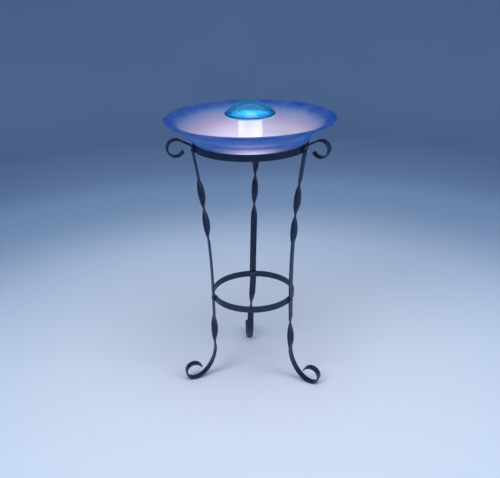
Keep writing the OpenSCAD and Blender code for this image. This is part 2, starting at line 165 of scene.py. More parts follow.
# Points added along an outline so that no two neighbours are further apart than step
def filledOutline(outline, step, closed=True):
    p = np.asarray(outline, float)
    ends = np.roll(p, -1, 0) if closed else p[1:]
    starts = p if closed else p[:-1]
    counts = np.maximum(1, np.ceil(np.linalg.norm(ends - starts, axis=1) / step)).astype(int)
    which = np.repeat(np.arange(len(counts)), counts)
    place = np.arange(counts.sum()) - np.repeat(np.cumsum(counts) - counts, counts)
    t = (place / counts[which])[:, None]
    filled = starts[which] * (1 - t) + ends[which] * t
    return filled if closed else np.concatenate([filled, p[-1:]])


cellWeights = np.array([127.1, 311.7, 74.7])
seedWeight = 53.3
sineScale = 43758.5453


# Random number from 0 to 1 for each lattice cell: the fraction that is left of a large multiple of
# the sine of its weighted place
def cellRandom(cells, seed):
    return np.mod(np.sin(cells @ cellWeights + seedWeight * seed) * sineScale, 1)


# Smooth field from -1 to 1: random numbers at lattice corners, blended by 3t^2 - 2t^3 in between
def softNoise(points, cell, seed):
    q = points / cell
    base = np.floor(q)
    t = q - base
    t = t * t * (3 - 2 * t)
    total = np.zeros(points.shape[:-1])
    for corner in np.ndindex(2, 2, 2):
        c = np.array(corner)
        total += np.prod(np.where(c == 1, t, 1 - t), axis=-1) * cellRandom(base + c, seed)
    return 2 * total - 1


# Distance, in cells, to the nearest of the points strewn one in each lattice cell
def nearestSpot(points, cell, seed):
    q = points / cell
    base = np.floor(q)
    nearest = np.full(points.shape[:-1], 9.0)
    for offset in np.ndindex(3, 3, 3):
        home = base + np.array(offset) - 1
        spot = home + np.stack([cellRandom(home, seed + k) for k in range(3)], -1)
        nearest = np.minimum(nearest, np.linalg.norm(q - spot, axis=-1))
    return nearest


# Unit normals out of an outline: its direction turned a quarter, on the side away from its area
def outlineNormals(outline, closed):
    following = np.roll(outline, -1, 0)
    ahead = following - np.roll(outline, 1, 0) if closed else np.gradient(outline, axis=0)
    normal = np.stack([ahead[:, 1], -ahead[:, 0]], -1)
    normal /= np.linalg.norm(normal, axis=1)[:, None] + 1e-12
    area = np.sum(outline[:, 0] * following[:, 1] - following[:, 0] * outline[:, 1])
    return -normal if area < 0 else normal


# Closed outline (distance from the axis, height) turned about Z: x = r cos a, y = r sin a, z = h
# An outline that isn't closed runs from one point on the axis to another, which become tips
# A shift moves each point along the outline's own normal, by a field of its place
def turned(name, outline, columns, closed=True, shift=None, attributes=None):
    a = np.arange(columns) * fullTurn / columns
    r, h = outline[:, 0][:, None], outline[:, 1][:, None]
    grid = np.stack([r * np.cos(a), r * np.sin(a), h + 0 * a], -1)
    if shift is not None:
        normal = outlineNormals(outline, closed)
        way = np.stack(
            [normal[:, :1] * np.cos(a), normal[:, :1] * np.sin(a), normal[:, 1:] + 0 * a], -1
        )
        grid = grid + shift(grid, outline)[..., None] * way
    values = {
        k: np.broadcast_to(v[:, None] if v.ndim == 1 else v, grid.shape[:2])
        for k, v in (attributes or {}).items()
    }
    rows = len(outline)
    if closed:
        faces = gridFaces(rows, columns, True, True)
        return makeMesh(name, grid.reshape(-1, 3), faces, None, values)
    inner = grid[1:-1].reshape(-1, 3)
    points = np.concatenate([inner, [[0, 0, outline[0, 1]], [0, 0, outline[-1, 1]]]])
    first, last = np.arange(columns), np.arange(columns) + (rows - 3) * columns
    tips = np.concatenate(
        [tipFaces(len(inner), first, True), tipFaces(len(inner) + 1, last, False)]
    )
    flat = {
        k: np.concatenate([v[1:-1].ravel(), [v[0, 0], v[-1, 0]]]) for k, v in values.items()
    }
    return makeMesh(name, points, gridFaces(rows - 2, columns, False, True), tips, flat)


# Materials: each one is a small tree of nodes over the standard shader


def newMaterial(name):
    material = bpy.data.materials.new(name)
    material.use_nodes = True
    return material


def shaderOf(material):
    return next(n for n in material.node_tree.nodes if n.type == "BSDF_PRINCIPLED")


# Sets sockets by name: a socket is linked, anything else becomes the value
def fill(material, node, sockets):
    for key, value in sockets.items():
        if isinstance(value, bpy.types.NodeSocket):
            material.node_tree.links.new(value, node.inputs[key])
        else:
            node.inputs[key].default_value = value
    return node


def addNode(material, kind, sockets=None, **settings):
    node = material.node_tree.nodes.new("ShaderNode" + kind)
    for key, value in settings.items():
        setattr(node, key, value)
    return fill(material, node, sockets or {})


def placeOn(material, stretch=(1, 1, 1)):
    here = addNode(material, "TexCoord").outputs["Object"]
    return addNode(material, "Mapping", {"Vector": here, "Scale": stretch}).outputs["Vector"]


# Cloudy value from 0 to 1, scale in clouds a metre
def cloud(material, scale, detail=3.0, rough=0.55, stretch=(1, 1, 1)):
    sockets = {
        "Vector": placeOn(material, stretch),
        "Scale": scale,
        "Detail": detail,
        "Roughness": rough,
    }
    return addNode(material, "TexNoise", sockets).outputs["Fac"]


def ramp(material, value, stops):
    node = addNode(material, "ValToRGB", {"Fac": value})
    elements = node.color_ramp.elements
    while len(elements) < len(stops):
        elements.new(0.5)
    for element, (position, colour) in zip(elements, stops):
        element.position = position
        element.color = (*colour, 1) if hasattr(colour, "__len__") else (colour,) * 3 + (1,)
    return node.outputs["Color"]


def span(material, value, low, high, fromLow=0.0, fromHigh=1.0):
    sockets = {
        "Value": value,
        "From Min": fromLow,
        "From Max": fromHigh,
        "To Min": low,
        "To Max": high,
    }
    return addNode(material, "MapRange", sockets).outputs["Result"]


def mixed(material, share, a, b, blend="MIX"):
    node = addNode(material, "Mix", data_type="RGBA", blend_type=blend)
    for index, value in ((0, share), (6, a), (7, b)):
        if isinstance(value, bpy.types.NodeSocket):
            material.node_tree.links.new(value, node.inputs[index])
        else:
            node.inputs[index].default_value = (*value, 1) if hasattr(value, "__len__") else value
    return node.outputs[2]


def sums(material, kind, a, b):
    node = addNode(material, "Math", operation=kind)
    for index, value in enumerate((a, b)):
        if isinstance(value, bpy.types.NodeSocket):
            material.node_tree.links.new(value, node.inputs[index])
        else:
            node.inputs[index].default_value = value
    return node.outputs[0]


def bump(material, height, strength, distance):
    sockets = {"Height": height, "Strength": strength, "Distance": distance}
    return addNode(material, "Bump", sockets).outputs["Normal"]


def readValue(material, name):
    return addNode(material, "Attribute", attribute_name=name).outputs["Fac"]


def assign(piece, material):
    piece.data.materials.clear()
    piece.data.materials.append(material)


# Forged iron of the legs and rings: black, with a blue cast in its colours that is painted
# reflection of the blue studio light

ironSet = {
    "deep": (0.0008, 0.0084, 0.0350),
    "pale": (0.0036, 0.0195, 0.0660),
    "edge": (0.0420, 0.0720, 0.1300),
    "patches": 160.0,
    "patchTones": (0.30, 0.72),
    "patchRise": 1.4,
    "grain": 1500.0,
    "grainDepth": 0.00022,
    "grainStrength": 0.55,
    "rubbing": 90.0,
    "rubbed": (0.42, 0.68),
    "rough": (0.34, 0.56),
    "specular": 0.36,
    "coatWeight": 0.15,
    "coatRoughness": 0.30,
}


def makeIron(s):
    m = newMaterial("wroughtIron")
    patches = cloud(m, s["patches"], 4)
    grain = cloud(m, s["grain"], 3, 0.6)
    body = ramp(m, patches, list(zip(s["patchTones"], (s["deep"], s["pale"]))))
    # Paint is thinnest along the bar's corners, where a cloudy share of it has rubbed through
    worn = readValue(m, "worn")
    bare = span(m, cloud(m, s["rubbing"], 4, 0.7), 0, 1, *s["rubbed"])
    colour = mixed(m, sums(m, "MULTIPLY", worn, bare), body, s["edge"])
    rough = span(m, patches, *s["rough"], 0.25, 0.75)
    height = sums(m, "ADD", grain, sums(m, "MULTIPLY", patches, s["patchRise"]))
    fill(
        m,
        shaderOf(m),
        {
            "Base Color": colour,
            "Roughness": rough,
            "Metallic": 0.0,
            "Specular IOR Level": s["specular"],
            "Coat Weight": s["coatWeight"],
            "Coat Roughness": s["coatRoughness"],
            "Normal": bump(m, height, s["grainStrength"], s["grainDepth"]),
        },
    )
    return m


ironMaterial = makeIron(ironSet)

# Millimetres and degrees. Each leg is one bar; bearings are the compass directions of the legs
legSet = {
    "wide": 17.0,
    "thick": 4.0,
    "corner": 1.1,
    "step": 2.0,
    "sectionStep": 1.15,
    "gap": 0.05,
    "footReach": 166.5,
    "footScroll": 21.5,
    "footTip": 157.0,
    "sweepTop": 88.0,
    "pulls": (27.0, 44.0, 185.0, (5.0, 30.0)),  # how far the sweep and the lean are drawn out
    "flatOver": 5.0,
    "flatUnder": 2.0,
    "bendOver": 7.0,
    "bendRadius": 12.0,
    "bendTurn": 62.0,
    "rise": 28.0,
    "topScroll": 19.8,
    "scrollTip": -155.0,
    "fullTwist": (68.0, 158.0),  # plain bar above it, and its length
    "halfTwist": (91.0, 175.0),  # heights of its ends
    "ringRun": 10.0,
    "curveStep": 0.5,
    "dent": 0.28,
    "dentCell": 9.0,
    "pockCell": 3.6,
    "pockShare": 0.35,
    "sideDent": 0.6,
    "tipRound": 1.3,
    "tipEase": 0.35,
    "tipWorn": 0.3,
}
legPlaces = {
    "leg_rear": {"bearing": 90.0, "topTurn": -7.0, "footTurn": 5.0, "seed": 3},
    "leg_left": {"bearing": 198.0, "topTurn": 0.0, "footTurn": 0.0, "seed": 7},
    "leg_right": {"bearing": 331.0, "topTurn": 0.0, "footTurn": 0.0, "seed": 11},
}
ringSet = {
    "thick": 4.0,
    "corner": 0.8,
    "sectionStep": 1.1,
    "columns": 540,
    "dent": 0.22,
    "dentCell": 11.0,
}


# Points of an arc: centre + radius (cos a, sin a), a from first to last in degrees
def arcRun(centre, radius, first, last, step):
    count = max(2, int(abs(last - first) * math.pi / 180 * radius / step))
    a = np.radians(np.linspace(first, last, count))
    return np.asarray(centre) + radius * np.stack([np.cos(a), np.sin(a)], -1)


# Cubic curve: (1-t)^3 p + 3(1-t)^2 t a + 3(1-t) t^2 b + t^3 q
def curveRun(p, a, b, q, count=160):
    t = np.linspace(0, 1, count)[:, None]
    p, a, b, q = (np.asarray(v, float) for v in (p, a, b, q))
    return (1 - t) ** 3 * p + 3 * (1 - t) ** 2 * t * a + 3 * (1 - t) * t**2 * b + t**3 * q


# The same line with its points spaced evenly along its length
def evenly(line, step):
    gaps = np.linalg.norm(np.diff(line, axis=0), axis=1)
    line = line[np.concatenate([[True], gaps > 1e-6])]
    along = np.concatenate([[0], np.cumsum(np.linalg.norm(np.diff(line, axis=0), axis=1))])
    at = np.linspace(0, along[-1], int(along[-1] / step) + 1)
    return np.stack([np.interp(at, along, line[:, k]) for k in range(2)], -1), at


# Share of the way from low to high, kept between 0 and 1
def share(x, low, high):
    return np.clip((x - low) / (high - low), 0, 1)


lowRing = [np.array(v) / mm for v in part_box("lower_ring")]
topRing = [np.array(v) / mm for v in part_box("top_ring")]


# Centre line of a leg in its upright plane: foot scroll, sweep, upright, lean, flat at the ring,
# bend, rise and top scroll
def legLine(s):
    half = s["thick"] / 2
    lowR, topR = lowRing[1][0] + half + s["gap"], topRing[1][0] + half + s["gap"]
    footCentre = (s["footReach"], s["footScroll"] + half)
    footPull, sweepPull, leanPull, ringPull = s["pulls"]
    footLow, stemLow = (s["footReach"], half), (lowR, s["sweepTop"])
    stemLean = (lowR, lowRing[1][2] + s["flatOver"])
    stemHigh = (topR, topRing[0][2] - s["flatUnder"])
    turn = math.radians(s["bendTurn"])
    bendCentre = np.array([topR + s["bendRadius"], topRing[0][2] + s["bendOver"]])
    bendEnd = bendCentre + s["bendRadius"] * np.array([-math.cos(turn), math.sin(turn)])
    riseEnd = bendEnd + s["rise"] * np.array([math.sin(turn), math.cos(turn)])
    scrollCentre = riseEnd + s["topScroll"] * np.array([math.cos(turn), -math.sin(turn)])
    fine = s["curveStep"]
    line = np.concatenate(
        [
            arcRun(footCentre, s["footScroll"], s["footTip"], -90, fine),
            curveRun(
                footLow, (footLow[0] - footPull, half), (lowR, s["sweepTop"] - sweepPull), stemLow
            ),
            curveRun(
                stemLean,
                (lowR, stemLean[1] + leanPull),
                (topR - ringPull[0], stemHigh[1] - ringPull[1]),
                stemHigh,
                300,
            ),
            arcRun(bendCentre, s["bendRadius"], 180, 180 - s["bendTurn"], fine),
            arcRun(scrollCentre, s["topScroll"], 180 - s["bendTurn"], s["scrollTip"], fine),
        ]
    )
    return evenly(line, s["step"])


# Bar section: a rectangle with eased corners, and for each point how near a corner it is
def barSection(wide, thick, corner, step):
    x, y = wide / 2, thick / 2
    outline = filledOutline(softCorners([(x, y), (-x, y), (-x, -y), (x, -y)], corner, 5), step)
    away = np.hypot(np.abs(outline[:, 0]) - x, np.abs(outline[:, 1]) - y)
    return outline, np.exp(-((away / (0.75 * corner)) ** 2))


# Degrees that the bar is twisted: a full turn under the upper ring and a half turn over the foot
def twistAt(z, s):
    top = topRing[0][2] - s["fullTwist"][0]
    full = 1 - share(z, top - s["fullTwist"][1], top)
    return 360 * full + 180 * (1 - share(z, *s["halfTwist"]))


# A point of the leg is its centre + x (cos t wide - sin t deep) + y (cos t deep + sin t wide), with
# t the twist, turned about Z by the leg's bearing and its lean
def makeLeg(name, s, place):
    line, along = legLine(s)
    section, nearCorner = barSection(s["wide"], s["thick"], s["corner"], s["sectionStep"])
    way = np.gradient(line, axis=0)
    way /= np.linalg.norm(way, axis=1)[:, None]
    zero = np.zeros(len(line))
    wide = np.stack([zero, zero + 1, zero], -1)[:, None]
    deep = np.stack([way[:, 1], zero, -way[:, 0]], -1)[:, None]
    centre = np.stack([line[:, 0], zero, line[:, 1]], -1)[:, None]
    t = np.radians(twistAt(line[:, 1], s))[:, None, None]
    # Hammer dents press the faces in, and the ends of the bar are eased off
    barPlace = np.stack(
        np.broadcast_arrays(along[:, None], section[:, 0][None], 3 * section[:, 1][None]), -1
    )
    dents = 0.5 + 0.5 * softNoise(barPlace, s["dentCell"], place["seed"])
    pocks = 0.5 + 0.5 * softNoise(barPlace, s["pockCell"], place["seed"] + 1)
    press = (1 - s["pockShare"]) * dents**2 + s["pockShare"] * pocks
    fromEnd = np.clip(np.minimum(along, along[-1] - along) / s["tipRound"], 0, 1)
    ease = 1 - s["tipEase"] * (1 - np.sqrt(1 - (1 - fromEnd) ** 2))
    x = section[:, 0][None] * ease[:, None]
    y = section[:, 1][None] * ease[:, None]
    x = x - np.sign(x) * press * s["dent"] * s["sideDent"] * np.abs(x) / (s["wide"] / 2)
    y = y - np.sign(y) * press * s["dent"] * np.abs(y) / (s["thick"] / 2)
    points = (
        centre
        + x[..., None] * (np.cos(t) * wide - np.sin(t) * deep)
        + y[..., None] * (np.cos(t) * deep + np.sin(t) * wide)
    )
    z = line[:, 1]
    lean = place["footTurn"] * (1 - share(z, s["sweepTop"], lowRing[0][2] - s["ringRun"]))
    lean = lean + place["topTurn"] * share(
        z, lowRing[1][2] + s["ringRun"], topRing[0][2] - s["ringRun"]
    )
    a = np.radians(place["bearing"] + lean)[:, None]
    points = np.stack(
        [
            points[..., 0] * np.cos(a) - points[..., 1] * np.sin(a),
            points[..., 0] * np.sin(a) + points[..., 1] * np.cos(a),
            points[..., 2],
        ],
        -1,
    )
    rows, columns = points.shape[:2]
    ends = np.array([points[0].mean(0), points[-1].mean(0)])
    first, last = np.arange(columns), np.arange(columns) + (rows - 1) * columns
    worn = np.broadcast_to(nearCorner[None], (rows, columns)).ravel()
    caps = np.concatenate(
        [tipFaces(rows * columns, first, True), tipFaces(rows * columns + 1, last, False)]
    )
    return makeMesh(
        name,
        np.concatenate([points.reshape(-1, 3), ends]) * mm,
        gridFaces(rows, columns, False, True),
        caps,
        {"worn": np.concatenate([worn, [s["tipWorn"]] * 2])},
    )


# Ring bar: the bar's section stood on edge and turned about Z, its faces pressed in by dents
def makeRing(name, box, s, seed):
    outer, low, high = box[1][0], box[0][2], box[1][2]
    section, nearCorner = barSection(s["thick"], high - low, s["corner"], s["sectionStep"])
    outline = section + np.array([outer - s["thick"] / 2, (low + high) / 2])

    def dents(grid, _):
        press = 0.5 + 0.5 * softNoise(grid / mm, s["dentCell"], seed)
        return -mm * s["dent"] * press**2

    return turned(name, outline * mm, s["columns"], True, dents, {"worn": nearCorner})


for name, place in legPlaces.items():
    leg = makeLeg(name.replace("leg_", "") + "Leg", legSet, place)
    assign(leg, ironMaterial)
    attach(leg, "stand")
    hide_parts(name)
for name, node, box, seed in (
    ("upperRing", "top_ring", topRing, 21),
    ("tieRing", "lower_ring", lowRing, 22),
):
    ring = makeRing(name, box, ringSet, seed)
    assign(ring, ironMaterial)
    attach(ring, "stand")
    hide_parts(node)
print("stand made")

# Glass bowl

bowlBox = [np.array(v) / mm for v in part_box("glass_bowl")]
# Millimetres and degrees
bowlSet = {
    "glass": 6.0,
    "depth": 74.0,
    "bandWide": 24.0,
    "bandSlope": 17.0,
    "lip": 3.0,
    "lipArc": (-50, 130),
    "hole": 8.5,
    "edgeSoft": 1.1,
    "holeSoft": 0.8,
    "ringEase": 0.45,
    "seatGap": 0.3,
    # Moulded steps on the wall: share of the way up it, and how far each one's end runs out
    "steps": ((0.36, 3), (0.76, 2)),
    "stepHeight": 1.4,
    "stepRiser": 1.5,
    "stepFlat": 4.5,
    "basinBlend": 14.0,
    "columns": 360,
    "outlineStep": 2.6,
    "ripple": 0.042,
    "rippleCells": (26.0, 11.0),
    # The glass by distance from the axis: its colour, the white-to-cobalt glaze made lighter
    # towards the middle partly as painted lamplight, and its glow, painted light given as emission
    # that also fills the shade under the dome and on the downward-facing outer wall
    "inside": [
        (0, (0.62, 0.62, 0.66), 0.95),
        (32, (0.60, 0.60, 0.65), 0.95),
        (52, (0.52, 0.51, 0.57), 0.90),
        (78, (0.46, 0.43, 0.52), 0.85),
        (107, (0.41, 0.375, 0.47), 0.64),
        (130, (0.335, 0.295, 0.40), 0.48),
        (140, (0.28, 0.24, 0.35), 0.38),
        (151, (0.205, 0.190, 0.31), 0.32),
        (162, (0.135, 0.155, 0.29), 0.28),
        (170, (0.065, 0.115, 0.27), 0.26),
        (176, (0.016, 0.070, 0.25), 0.24),
        (181, (0.005, 0.050, 0.225), 0.22),
        (190, (0.002, 0.038, 0.20), 0.20),
        (203, (0.004, 0.042, 0.20), 0.22),
    ],
    "outside": [
        (203, (0.010, 0.065, 0.28), 0.30),
        (178, (0.008, 0.085, 0.34), 0.42),
        (170, (0.010, 0.095, 0.37), 0.46),
        (160, (0.008, 0.080, 0.34), 0.44),
        (150, (0.012, 0.085, 0.34), 0.44),
        (136, (0.020, 0.080, 0.31), 0.44),
        (0, (0.050, 0.110, 0.34), 0.44),
    ],
    # Painted lamplight and highlights on the front of the outer wall, as emission: distance from
    # the axis and strength
    "paintedShine": [
        (178, 0.03),
        (170, 0.05),
        (165, 0.05),
        (161.5, 0.24),
        (158, 0.10),
        (152, 0.06),
        (149, 0.16),
        (146.5, 0.52),
        (143.5, 0.42),
        (140, 0.78),
        (134, 0.62),
        (120, 0.20),
        (0, 0.10),
    ],
    "shineColour": (1.0, 0.86, 0.88),
    "shineSpread": 20.0,
    "milk": (0.36, 0.33, 0.46),
    "milkShare": 0.10,
    "mottle": 42,
    "streaks": 9,
    "frost": 2600,
    "wander": 0.006,
    "wandering": 16,
    "rough": (0.30, 0.44),
    "specular": 0.16,
    "coatWeight": 0.05,
    "coatRoughness": 0.16,
}


# Outline of the bowl: from the hole out under the wall, over the lip and back along the basin.
# Wall point at r, standing h proud: (r + h sin w, seat + (r - seatR) tan w - h cos w), with w the
# wall's slope
def bowlOutline(s):
    rimR, rimZ = bowlBox[1][0], bowlBox[1][2]
    floorZ = rimZ - s["depth"]
    underZ = floorZ - s["glass"]
    bandR = rimR - s["bandWide"]
    bandZ = rimZ - s["bandWide"] * math.tan(math.radians(s["bandSlope"]))
    seatR = topRing[1][0] - legSet["thick"] + s["ringEase"]
    seatZ = topRing[1][2] + s["seatGap"]
    shoulder = (bandR - 2, bandZ - s["glass"] - 1)
    slope = math.atan2(shoulder[1] - seatZ, shoulder[0] - seatR)
    lift = s["glass"] / math.cos(slope)
    basinR = seatR - (seatZ + lift - floorZ) / math.tan(slope)
    wallFoot = seatR - (seatZ - underZ) / math.tan(slope)

    def wallAt(r, h=0.0):
        return (
            r + h * math.sin(slope),
            seatZ + (r - seatR) * math.tan(slope) - h * math.cos(slope),
        )

    def mouldedStep(up, out):
        foot = seatR + up * (shoulder[0] - seatR)
        riser = foot + s["stepRiser"]
        flat, high = riser + s["stepFlat"], s["stepHeight"]
        return [wallAt(foot), wallAt(riser, high), wallAt(flat, high), wallAt(flat + out)]

    lipCentre = (rimR - s["lip"], rimZ - s["lip"])
    lip = arcRun(lipCentre, s["lip"], *s["lipArc"], 0.6)
    t = np.linspace(0, 1, 9)[:, None]
    k = s["basinBlend"]
    corner = (
        (1 - t) ** 2 * np.array([basinR + k * math.cos(slope), floorZ + k * math.sin(slope)])
        + 2 * t * (1 - t) * np.array([basinR, floorZ])
        + t**2 * np.array([basinR - k, floorZ])
    )
    sharp = [(s["hole"], underZ), (wallFoot - 6, underZ), (wallFoot, underZ + 2), wallAt(seatR + 1)]
    for up, out in s["steps"]:
        sharp += mouldedStep(up, out)
    sharp += [shoulder, (shoulder[0] + 4, shoulder[1] + 0.6)]
    sharp += [(rimR - 3, rimZ - s["glass"] - 0.6)]
    bandCorner = [(bandR + 2, bandZ + 0.4), (bandR - 1.5, bandZ - 1.4)]
    n = 4  # points to each soft corner
    holeCorners = [corner[-1], (s["hole"], floorZ), sharp[0], sharp[1]]
    # Each stretch without its own two ends, which belong to the next one
    under = softCorners([*sharp, lip[0]], s["edgeSoft"], n)[n:-n]
    over = softCorners([lip[-1], *bandCorner, corner[0]], s["edgeSoft"], n)[n:-n]
    hole = softCorners(holeCorners, s["holeSoft"], n)[n:-n]
    outline = np.concatenate([hole[n:], under, lip, over, corner, hole[:n]])
    return filledOutline(outline, s["outlineStep"])


# Attribute "run" goes from 0 at the middle of the underside out to a half at the rim, and on to 1
# at the middle of the basin. The painted lamplight mask is exp(-(degrees from the front /
# spread)^2)
def makeBowl(s):
    outline = bowlOutline(s)
    half = 0.5 * outline[:, 0] / bowlBox[1][0]
    underHole = np.array([s["hole"], outline[:, 1].min()])
    start = int(np.argmin(np.linalg.norm(outline - underHole, axis=1)))
    order = np.roll(np.arange(len(outline)), -start)
    rim = int(np.argmax(outline[order, 0]))
    run = np.empty(len(outline))
    run[order] = np.where(np.arange(len(outline)) <= rim, half[order], 1 - half[order])
    fromFront = np.mod(np.arange(s["columns"]) * 360 / s["columns"] - 90, 360) - 180
    paintedLightMask = np.exp(-((fromFront / s["shineSpread"]) ** 2))

    # Ripples press in only, so that the glass never stands outside its true wall
    def ripples(grid, _):
        broad, fine = (softNoise(grid / mm, c, 31 + k) for k, c in enumerate(s["rippleCells"]))
        return mm * s["ripple"] * (broad + 0.5 * fine - 1.5)

    values = {"run": run[:, None] + 0 * paintedLightMask, "paintedLightMask": paintedLightMask + 0 * run[:, None]}
    return turned("glassBowl", outline * mm, s["columns"], True, ripples, values)


def makeBowlGlass(s):
    m = newMaterial("frostedBowlGlass")
    rimR = bowlBox[1][0]
    run = readValue(m, "run")
    stops = [(0.5 * r / rimR, c, g) for r, c, g in reversed(s["outside"])]
    stops += [(1 - 0.5 * r / rimR, c, g) for r, c, g in reversed(s["inside"])]
    stops = [(min(max(p, 0), 1), c, g) for p, c, g in stops]
    # Sprayed enamel: its edge wanders a little, and it is thicker in some places
    wander = span(m, cloud(m, s["wandering"], 4), -s["wander"], s["wander"])
    place = sums(m, "ADD", run, wander)
    colour = ramp(m, place, [(p, c) for p, c, _ in stops])
    mottle = cloud(m, s["mottle"], 5, 0.6)
    colour = mixed(m, span(m, mottle, 0.0, s["milkShare"], 0.4, 0.7), colour, s["milk"])
    streaks = cloud(m, s["streaks"], 3, 0.5, (1, 1, 7))
    # Painted lamplight: the glass glows as emission in its own colour, by distance from the axis,
    # with streaks
    glow = ramp(m, place, [(p, g) for p, _, g in stops])
    glow = mixed(m, 1.0, glow, ramp(m, streaks, [(0.3, 0.9), (0.7, 1.0)]), "MULTIPLY")
    glow = mixed(m, 1.0, colour, glow, "MULTIPLY")
    # Painted lamplight and highlights on the outer wall: they fall off to both sides of the front,
    # and lie along the moulded steps
    shineStops = [(0.5 * r / rimR, g) for r, g in reversed(s["paintedShine"])] + [(0.47, 0.0)]
    paintedShine = mixed(m, 1.0, ramp(m, run, shineStops), s["shineColour"], "MULTIPLY")
    uneven = ramp(m, streaks, [(0.35, 0.75), (0.65, 1.0)])
    paintedLightMask = mixed(m, 1.0, readValue(m, "paintedLightMask"), uneven, "MULTIPLY")
    paintedLamplight = mixed(m, 1.0, glow, mixed(m, 1.0, paintedShine, paintedLightMask, "MULTIPLY"), "ADD")
    frost = cloud(m, s["frost"], 2, 0.5)
    fill(
        m,
        shaderOf(m),
        {
            "Base Color": colour,
            "Roughness": span(m, mottle, *s["rough"]),
            "IOR": 1.5,
            "Specular IOR Level": s["specular"],
            "Subsurface Weight": 0.2,
            "Subsurface Radius": (0.5, 0.6, 1.0),
            "Subsurface Scale": 0.006,
            "Coat Weight": s["coatWeight"],
            "Coat Roughness": s["coatRoughness"],
            "Emission Color": paintedLamplight,
            "Emission Strength": 1.0,
            "Normal": bump(m, frost, 0.12, 0.0001),
        },
    )
    return m


bowl = makeBowl(bowlSet)
assign(bowl, makeBowlGlass(bowlSet))
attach(bowl, "bowl")
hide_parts("glass_bowl")
print("bowl made")

# Lamp column

columnBox = [np.array(v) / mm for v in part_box("column")]
columnSet = {
    "wall": 3.0,
    "ease": 0.8,
    "columns": 160,
    "step": 1.6,
    "milk": (0.50, 0.50, 0.54),
    "thin": (0.42, 0.42, 0.47),
    "warm": (1.0, 0.965, 0.93),
    "glow": (0.66, 0.58),
    "rough": (0.22, 0.36),
    "clouds": 55,
    "grain": 1800,
}


# Tube with eased edges: a rectangle from inner to outer radius and from foot to top, turned about Z
def makeTube(name, low, high, inner, outer, ease, step, columns):
    corners = [(outer, low), (outer, high), (inner, high), (inner, low)]
    outline = filledOutline(softCorners(corners, ease, 5), step)
    return turned(name, outline * mm, columns)


def makeOpal(s):
    m = newMaterial("opalColumn")
    milk = cloud(m, s["clouds"], 4, 0.55, (1, 1, 0.5))
    colour = ramp(m, milk, [(0.3, s["milk"]), (0.7, s["thin"])])
    fill(
        m,
        shaderOf(m),
        {
            "Base Color": colour,
            "Roughness": span(m, milk, *s["rough"]),
            "Subsurface Weight": 0.3,
            "Subsurface Radius": (1.0, 1.0, 1.0),
            "Subsurface Scale": 0.006,
            "Emission Color": mixed(m, 0.8, colour, s["warm"]),
            "Emission Strength": span(m, milk, *s["glow"], 0.3, 0.7),
            "Normal": bump(m, cloud(m, s["grain"], 2), 0.1, 0.0001),
        },
    )
    return m


columnR = columnBox[1][0]
column = makeTube(
    "opalColumnTube",
    columnBox[0][2],
    columnBox[1][2],
    columnR - columnSet["wall"],
    columnR,
    columnSet["ease"],
    columnSet["step"],
    columnSet["columns"],
)
assign(column, makeOpal(columnSet))
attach(column, "bowl")
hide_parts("column")
print("column made")

# Dome with its plate and seal

domeBox = [np.array(v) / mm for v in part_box("glass_dome")]
plateBox = [np.array(v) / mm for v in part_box("dome_plate")]
sealBox = [np.array(v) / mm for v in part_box("dome_seal")]
domeSet = {
    "wall": 4.0,
    "brim": 2.0,
    "brimEase": 0.8,
    "smoothOver": 1.7,
    "columns": 420,
    "rows": 92,
    "innerRows": 30,
    "hammer": 8.5,
    "depth": 0.42,
    "fine": 3.4,
    "fineDepth": 0.10,
    "deepBlue": (0.004, 0.17, 0.50),
    "turquoise": (0.06, 0.58, 0.84),
    "crown": (0.025, 0.38, 0.70),
    "streaks": 34,
    "streakShift": 0.14,
    "grain": 900,
    "roughness": 0.12,
    "ior": 1.42,
    "clear": 0.95,
    "glow": 0.04,
}
plateSet = {
    "plate": 3.0,
    "spigotWall": 3.0,
    "seatGap": 0.3,
    "ease": 0.7,
    "columns": 200,
    "step": 1.6,
    "clouds": 40,
    "grain": 1500,
    "rough": (0.24, 0.34),
    "colours": ((0.40, 0.56, 0.66), (0.30, 0.48, 0.60)),
    # Share of the way out to the dome's edge, and the light there
    "light": [
        (0.0, (0.95, 1.3, 1.5)),
        (0.40, (0.70, 1.05, 1.25)),
        (0.70, (0.34, 0.72, 0.92)),
        (0.94, (0.04, 0.16, 0.28)),
    ],
}
sealSet = {
    "inset": 1.0,
    "ease": 0.55,
    "columns": 200,
    "step": 1.2,
    "clouds": 220,
    "grain": 2400,
    "rough": (0.32, 0.48),
    "colours": ((0.10, 0.28, 0.36), (0.05, 0.18, 0.26)),
}


